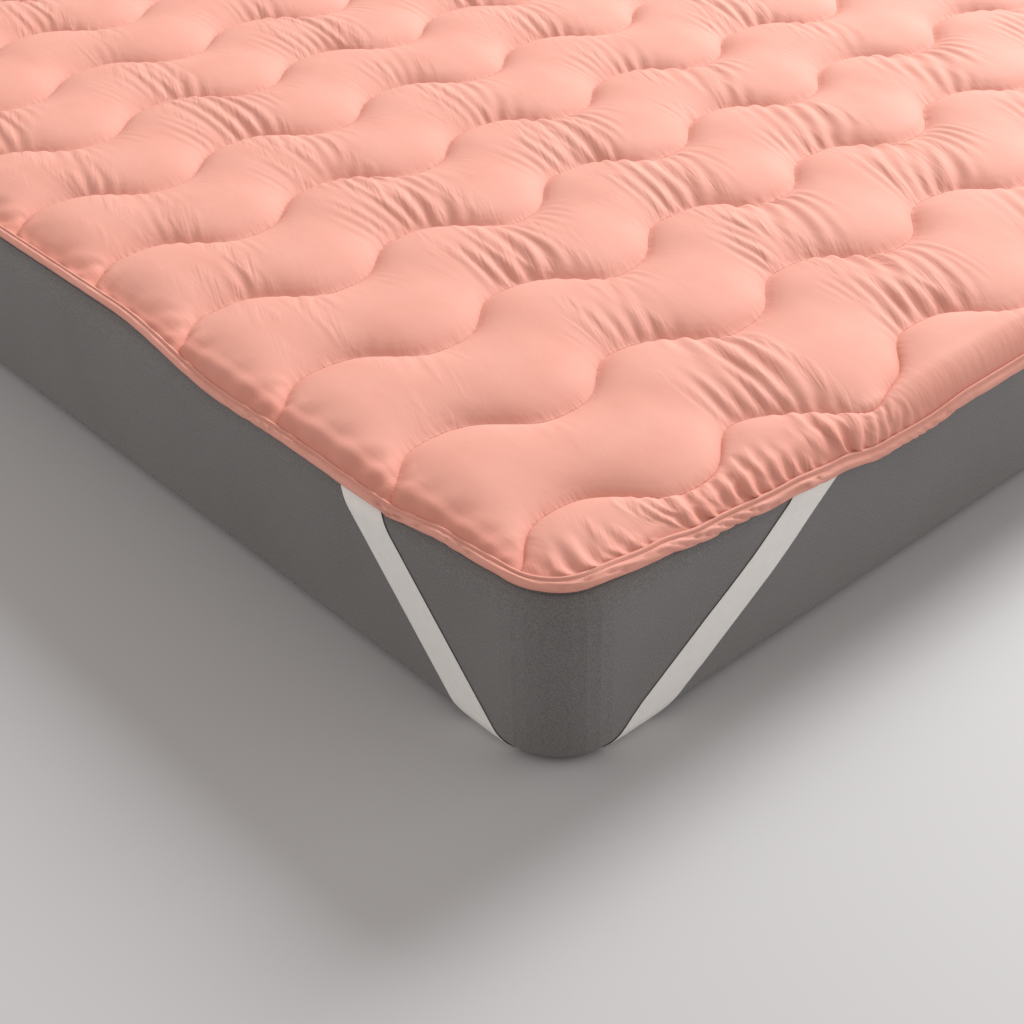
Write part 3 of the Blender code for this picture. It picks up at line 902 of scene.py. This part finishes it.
def strap_line(table, rise):
    """The strap's distance from the corner at a rise, with its turns eased, and its half width."""
    rises, distances = np.array(table).T
    first = (distances[1] - distances[0]) / (rises[1] - rises[0])
    last = (distances[-1] - distances[-2]) / (rises[-1] - rises[-2])

    def straight(at):
        before = first * np.minimum(at - rises[0], 0.0)
        after = last * np.maximum(at - rises[-1], 0.0)
        return np.interp(at, rises, distances) + before + after

    def smooth(at):
        return np.mean([straight(at + STRAP_EASING * k / 4) for k in range(-4, 5)], axis=0)

    slope = (smooth(rise + 1e-3) - smooth(rise - 1e-3)) / 2e-3
    return smooth(rise), STRAP_WIDTH / 2 * np.sqrt(1.0 + slope**2)


def strap_edges(side_x, side_y):
    """Both edges of a strap's inner face, from the side's hem under the corner to the end's."""
    corner_x = side_x * (WIDTH / 2 - FOOT)
    corner_y = side_y * (LENGTH / 2 - FOOT)
    edges = []
    for side in (1.0, -1.0):
        distance, half = strap_line(STRAP_ON_LEFT, LEFT_RISES)
        out, z = up_the_side(LEFT_RISES)
        y = corner_y - side_y * (distance + side * half)
        left = np.stack([corner_x + side_x * out, y, z], axis=-1)
        distance, half = strap_line(STRAP_ON_FRONT, FRONT_RISES)
        out, z = up_the_side(FRONT_RISES)
        x = corner_x - side_x * (distance + side * half)
        front = np.stack([x, corner_y + side_y * out, z], axis=-1)
        share = np.linspace(0.0, 1.0, UNDER_STATIONS + 2)[1:-1, None]
        edges.append(np.concatenate([left, left[-1] + (front[0] - left[-1]) * share, front]))
    band = np.stack(edges, axis=1)
    band[..., 2] = np.maximum(band[..., 2], STRAP_TRACK)
    return band


def strap_surfaces(band):
    """The inner and outer face of a band of even thickness with rounded selvedges."""
    share = 0.5 - 0.5 * np.cos(np.linspace(0.0, math.pi, 15))
    inner = band[:, :1] + (band[:, 1:] - band[:, :1]) * share[None, :, None]
    out = np.cross(np.gradient(inner, axis=0), np.gradient(inner, axis=1))
    out /= np.linalg.norm(out, axis=-1, keepdims=True)
    if out[0, 0, 0] * inner[0, 0, 0] < 0.0:
        out = -out
    thick = STRAP_THICKNESS * (1.0 - (2.0 * share - 1.0) ** 8)
    thick = np.maximum(thick, 0.2 * STRAP_THICKNESS)
    middle = inner + out * STRAP_THICKNESS / 2
    return middle - out * thick[None, :, None] / 2, middle + out * thick[None, :, None] / 2, out


def strap_piece(name, inner, outer, material):
    """A closed band: across its outer face, round the selvedge and back across its inner face."""
    rows, columns = inner.shape[:2]
    rings = np.concatenate([outer, inner[:, ::-1]], axis=1)
    count = 2 * columns
    band = bmesh.new()
    along = distance_along((inner + outer).mean(axis=1) / 2)
    across = np.linalg.norm(inner - inner[:, :1], axis=-1)
    verts = [[band.verts.new(place) for place in ring] for ring in rings.tolist()]
    for near, far in zip(verts[:-1], verts[1:]):
        for side in range(count):
            beside = (side + 1) % count
            band.faces.new((near[side], near[beside], far[beside], far[side]))
    band.faces.new(verts[0][::-1])
    band.faces.new(verts[-1])
    bmesh.ops.recalc_face_normals(band, faces=band.faces)
    mesh = bpy.data.meshes.new(name)
    band.to_mesh(mesh)
    band.free()
    cut = np.zeros((rows, count, 3), np.float32)
    cut[..., 0] = np.concatenate([across, across[:, ::-1]], axis=1)
    cut[..., 1] = along[:, None]
    remember(mesh, "cut", cut)
    return smooth_piece(name, mesh, material), float(along[-1])


def row_of_tacks(line):
    """Where the stitches across a strap start and end, along one line of its outer face."""
    share = np.linspace(0.06, 0.94, TACK_STITCHES)
    for step in (-TACK_STITCH / 2, TACK_STITCH / 2):
        at = (share + step) * (len(line) - 1)
        low = np.floor(at).astype(int)
        high = np.minimum(low + 1, len(line) - 1)
        yield line[low] + (line[high] - line[low]) * (at - low)[:, None]


ELASTIC_WHITE = (0.97, 0.96, 0.935, 1.0)
ELASTIC_SHADE = (0.89, 0.875, 0.845, 1.0)

elastic, tree = new_finish("woven_elastic")
cut = add_node(tree, "Attribute", {"attribute_name": "cut"}, {}, "Vector")
across, along = (part_of(tree, cut, axis) for axis in "XY")
loose = noise_on(tree, cut, 90.0, 3.0)
woven = across.wave(RIB_PITCH) + 0.35 * along.wave(WEFT_PITCH) + 1.2 * loose
tone = 0.6 * noise_on(tree, stretched(tree, cut, (1.0, 0.1, 1.0)), 500.0, 2.0) + 0.4 * loose
close_finish(
    tree,
    {
        "Base Color": tone.ramp(0.3, 0.7).between(ELASTIC_SHADE, ELASTIC_WHITE),
        "Roughness": 0.72,
        "Sheen Weight": 0.1,
        "Sheen Roughness": 0.5,
        "Normal": relief(tree, woven, 0.6, 0.00022),
    },
)
white_thread = thread_finish("white_thread", ELASTIC_SHADE, ELASTIC_WHITE)

TACK_STATIONS = (
    int(np.argmin(np.abs(LEFT_RISES - TACK_ON_LEFT))),
    len(LEFT_RISES) + UNDER_STATIONS + int(np.argmin(np.abs(FRONT_RISES - TACK_ON_FRONT))),
)
CORNERS = ((LEFT, FRONT), (RIGHT, FRONT), (LEFT, BACK), (RIGHT, BACK))
for number, (side_x, side_y) in enumerate(CORNERS, start=1):
    inner, outer, out = strap_surfaces(strap_edges(side_x, side_y))
    piece, length = strap_piece(f"elastic_strap_{number}", inner, outer, elastic)
    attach(piece, "root")
    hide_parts(f"corner_strap_{number}")

    rows = [row_of_tacks(outer[station, 1:-1]) for station in TACK_STATIONS]
    starts, ends = (np.concatenate(side) for side in zip(*rows))
    middle = out.shape[1] // 2
    up = np.repeat(out[list(TACK_STATIONS), middle], TACK_STITCHES, axis=0)
    tack = thread_piece(
        f"strap_stitches_{number}", starts, ends, up, FINE_THREAD_RADIUS, white_thread
    )
    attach(tack, "root")
    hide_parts(f"corner_strap_{number}")


# ---------------------------------------------------------------- floor and light
# A plain pale floor, a large soft light from behind on the right, two weak ones that stand for
# pale walls, and an even, slightly warm surrounding.

bpy.ops.mesh.primitive_plane_add(size=14.0)
floor = bpy.context.object
floor.name = "floor"
material, tree = new_finish("floor_paint")
close_finish(tree, {"Base Color": (0.50, 0.50, 0.51, 1.0), "Roughness": 0.6})
floor.data.materials.append(material)

world = bpy.data.worlds.new("studio")
bpy.context.scene.world = world
world.use_nodes = True
world.node_tree.nodes["Background"].inputs["Color"].default_value = (1.0, 0.92, 0.87, 1.0)
world.node_tree.nodes["Background"].inputs["Strength"].default_value = 0.52


def soft_light(name, place, aim, size, power):
    light = bpy.data.lights.new(name, "AREA")
    light.shape = "SQUARE"
    light.size = size
    light.energy = power
    lamp = add_object(name, light)
    lamp.location = place
    lamp.rotation_mode = "QUATERNION"
    lamp.rotation_quaternion = (Vector(aim) - Vector(place)).to_track_quat("-Z", "Y")


soft_light("window", (5.2, 0.8, 3.9), (-0.3, -0.4, 0.2), 2.4, 545.0)
soft_light("pale_wall", (2.2, -3.2, 1.3), (-0.4, -0.9, 0.1), 3.0, 42.0)
soft_light("other_wall", (-3.4, 1.4, 1.3), (-0.8, -0.3, 0.1), 3.0, 26.0)
